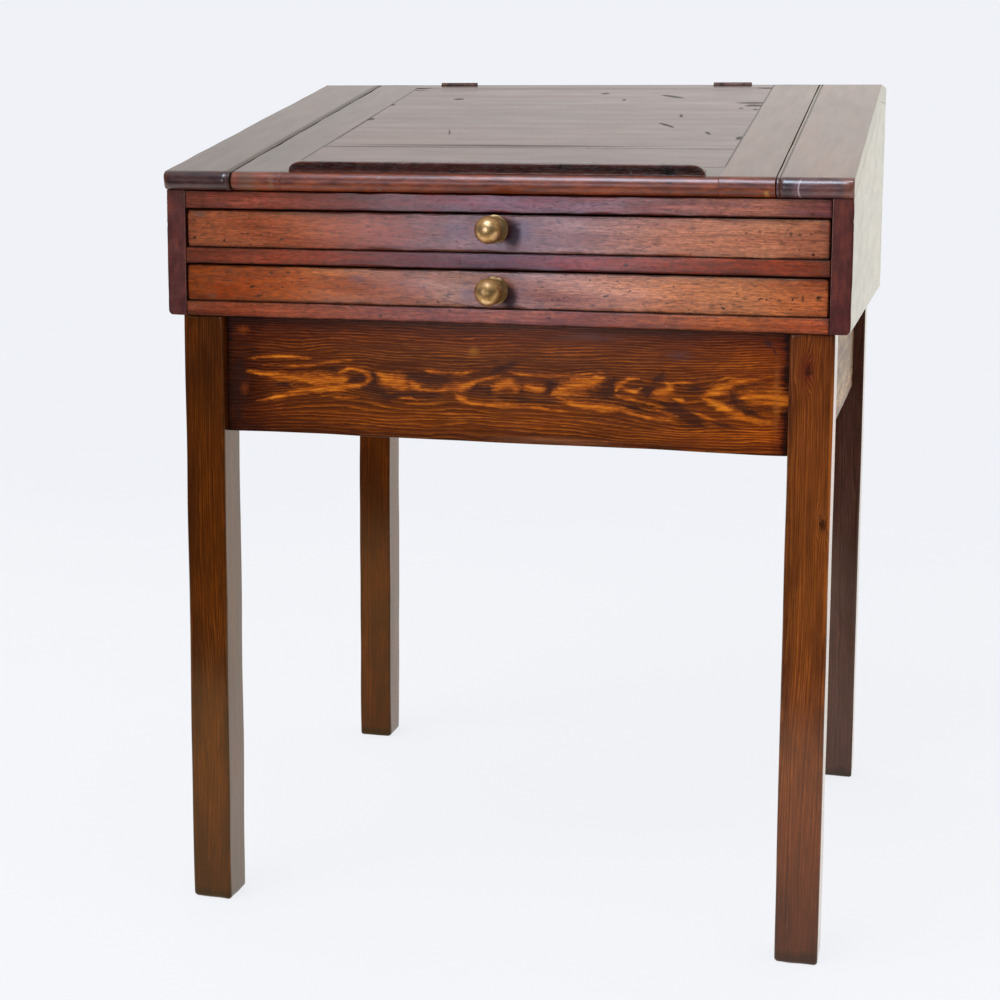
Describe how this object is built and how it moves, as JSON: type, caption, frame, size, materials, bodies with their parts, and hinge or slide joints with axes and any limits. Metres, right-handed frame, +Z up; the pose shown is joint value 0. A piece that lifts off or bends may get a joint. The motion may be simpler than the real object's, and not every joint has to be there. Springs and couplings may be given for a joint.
{
  "type": "writing desk",
  "caption": "Wooden clerk's desk: a case with a sloping hinged lid over a well and shallow drawers, on a stand of square legs and deep aprons.",
  "frame": {"origin": "on the floor, under the middle of the whole desk with its knobs", "axes": "+Z up, +X to the right hand of whoever sits at the desk, +Y from the sitter to the back"},
  "size_m": [0.76, 0.707, 0.9663],
  "materials": {
    "mahogany": "old polish, worn satin",
    "faded_mahogany": "faded and scratched polish, satin",
    "polished_mahogany": "glossy old polish",
    "dark_mahogany": "dark polish, satin",
    "stained_pine": "dark stain, satin",
    "plain_pine": "bare planed wood, matt",
    "knob_brass": "aged, half polished",
    "hinge_brass": "tarnished, dull"
  },
  "bodies": {
    "case": {"leg_front_left": "stained_pine", "leg_front_right": "stained_pine", "leg_rear_left": "stained_pine", "leg_rear_right": "stained_pine", "apron_front": "stained_pine", "apron_rear": "stained_pine", "apron_left": "stained_pine", "apron_right": "stained_pine", "corner_blocks": "plain_pine", "side_left": "mahogany", "side_right": "mahogany", "back_board_lower": "plain_pine", "back_board_upper": "plain_pine", "bottom_rail": "mahogany", "bottom_board": "plain_pine", "middle_rail": "mahogany", "top_rail": "mahogany", "runner_left": "plain_pine", "runner_right": "plain_pine", "drawer_stops": "plain_pine", "well_floor": "plain_pine", "hinge_rail": "plain_pine", "bearer_left": "plain_pine", "bearer_right": "plain_pine", "top_board_left": "polished_mahogany", "top_board_right": "polished_mahogany", "rear_shelf": "polished_mahogany", "hinge_leaf_case_left": "hinge_brass", "hinge_leaf_case_right": "hinge_brass", "hinge_pin_left": "hinge_brass", "hinge_pin_right": "hinge_brass", "hinge_screws_case": "hinge_brass"},
    "lid": {"lid_stile_left": "polished_mahogany", "lid_stile_right": "polished_mahogany", "lid_front_rail": "polished_mahogany", "lid_back_rail": "polished_mahogany", "lid_panel_front": "polished_mahogany", "lid_panel_rear": "polished_mahogany", "book_rest": "dark_mahogany", "hinge_leaf_lid_left": "hinge_brass", "hinge_leaf_lid_right": "hinge_brass", "hinge_screws_lid": "hinge_brass"},
    "upper_drawer": {"upper_drawer_front": "faded_mahogany", "upper_drawer_left_side": "plain_pine", "upper_drawer_right_side": "plain_pine", "upper_drawer_back": "plain_pine", "upper_drawer_bottom": "plain_pine", "upper_knob": "knob_brass", "upper_knob_nut": "hinge_brass"},
    "lower_drawer": {"lower_drawer_front": "faded_mahogany", "lower_drawer_left_side": "plain_pine", "lower_drawer_right_side": "plain_pine", "lower_drawer_back": "plain_pine", "lower_drawer_bottom": "plain_pine", "lower_knob": "knob_brass", "lower_knob_nut": "hinge_brass"}
  },
  "joints": [
    {"name": "lid_hinge", "type": "hinge", "parent": "case", "child": "lid", "pos_m": [0, 0.2135, 0.96308], "axis": [-1, 0, 0], "range_deg": [0, 110]},
    {"name": "upper_drawer_slide", "type": "slide", "parent": "case", "child": "upper_drawer", "axis": [0, -1, 0], "range_m": [0, 0.4]},
    {"name": "lower_drawer_slide", "type": "slide", "parent": "case", "child": "lower_drawer", "axis": [0, -1, 0], "range_m": [0, 0.4]}
  ]
}
